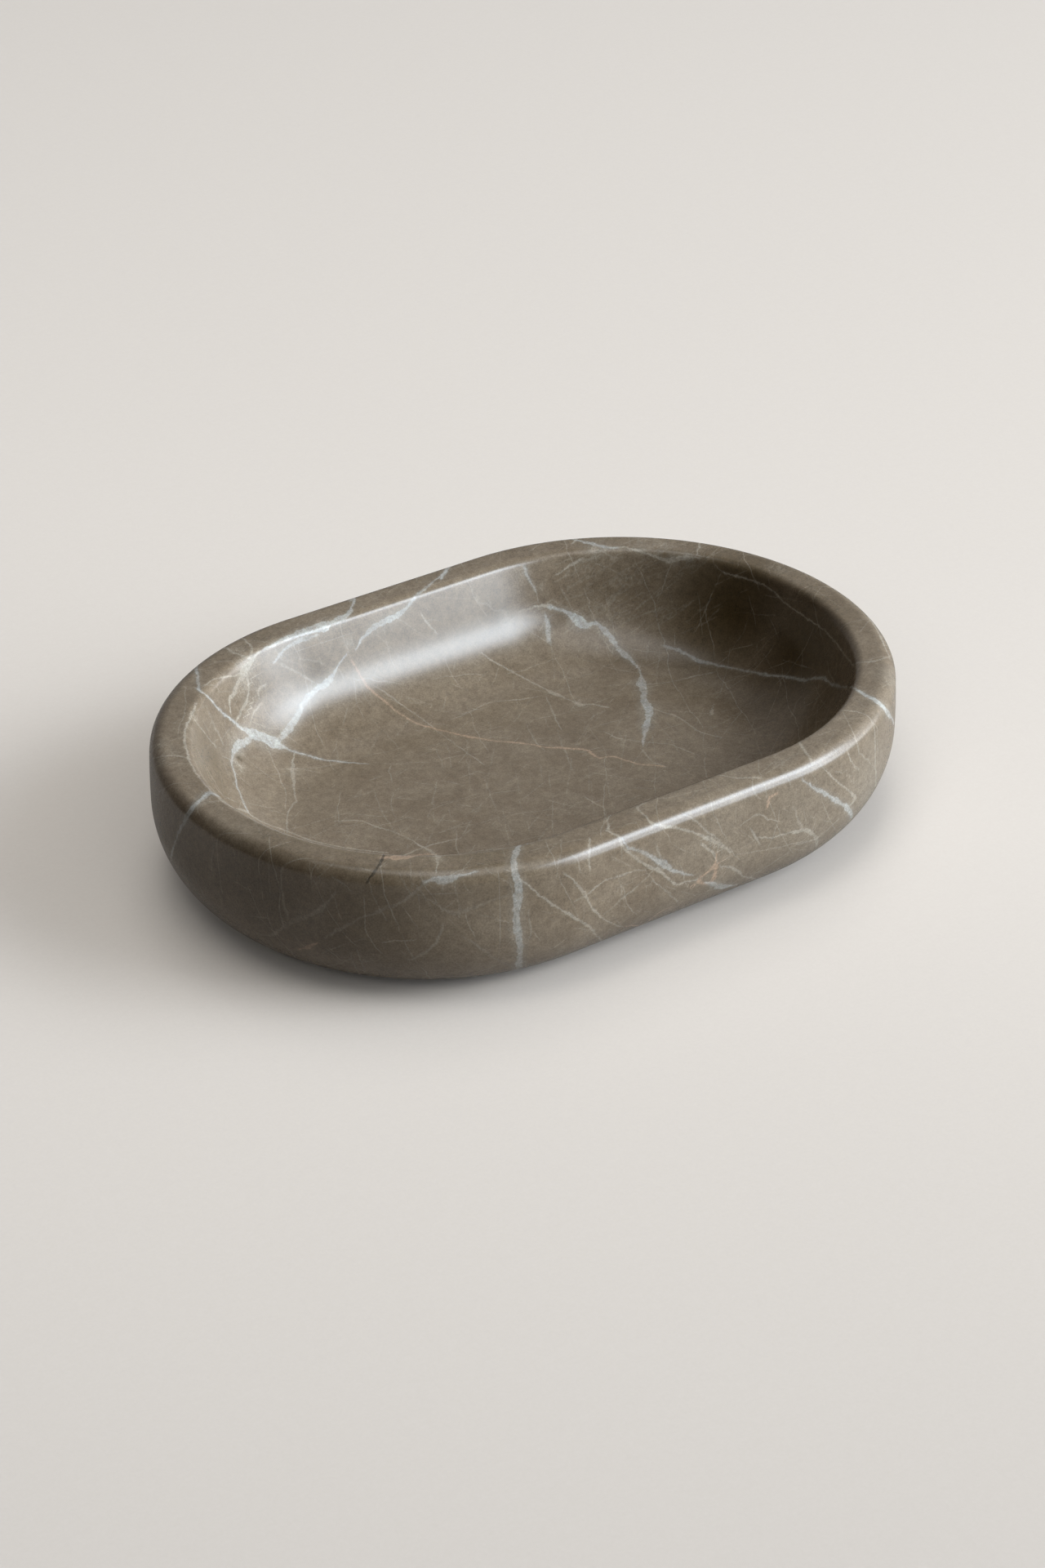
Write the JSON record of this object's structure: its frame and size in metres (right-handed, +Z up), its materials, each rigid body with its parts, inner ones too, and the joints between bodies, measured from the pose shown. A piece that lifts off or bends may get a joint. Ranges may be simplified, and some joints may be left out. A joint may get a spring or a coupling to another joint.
{
  "type": "soap dish",
  "caption": "Oblong soap dish carved from one piece of veined stone, with half-round ends, a flat rim, a smooth hollow and thin pads under its base.",
  "frame": {"origin": "on the supporting surface, under the centre of the dish", "axes": "+X along the long side, +Y across the dish towards the back, +Z up"},
  "size_m": [0.15, 0.105, 0.031],
  "materials": {
    "marble": "polished brown marble with pale veins",
    "pad": "matte closed-cell foam"
  },
  "bodies": {
    "root": {"dish_body": "marble", "pad_front_left": "pad", "pad_front_right": "pad", "pad_back_left": "pad", "pad_back_right": "pad"}
  },
  "joints": []
}
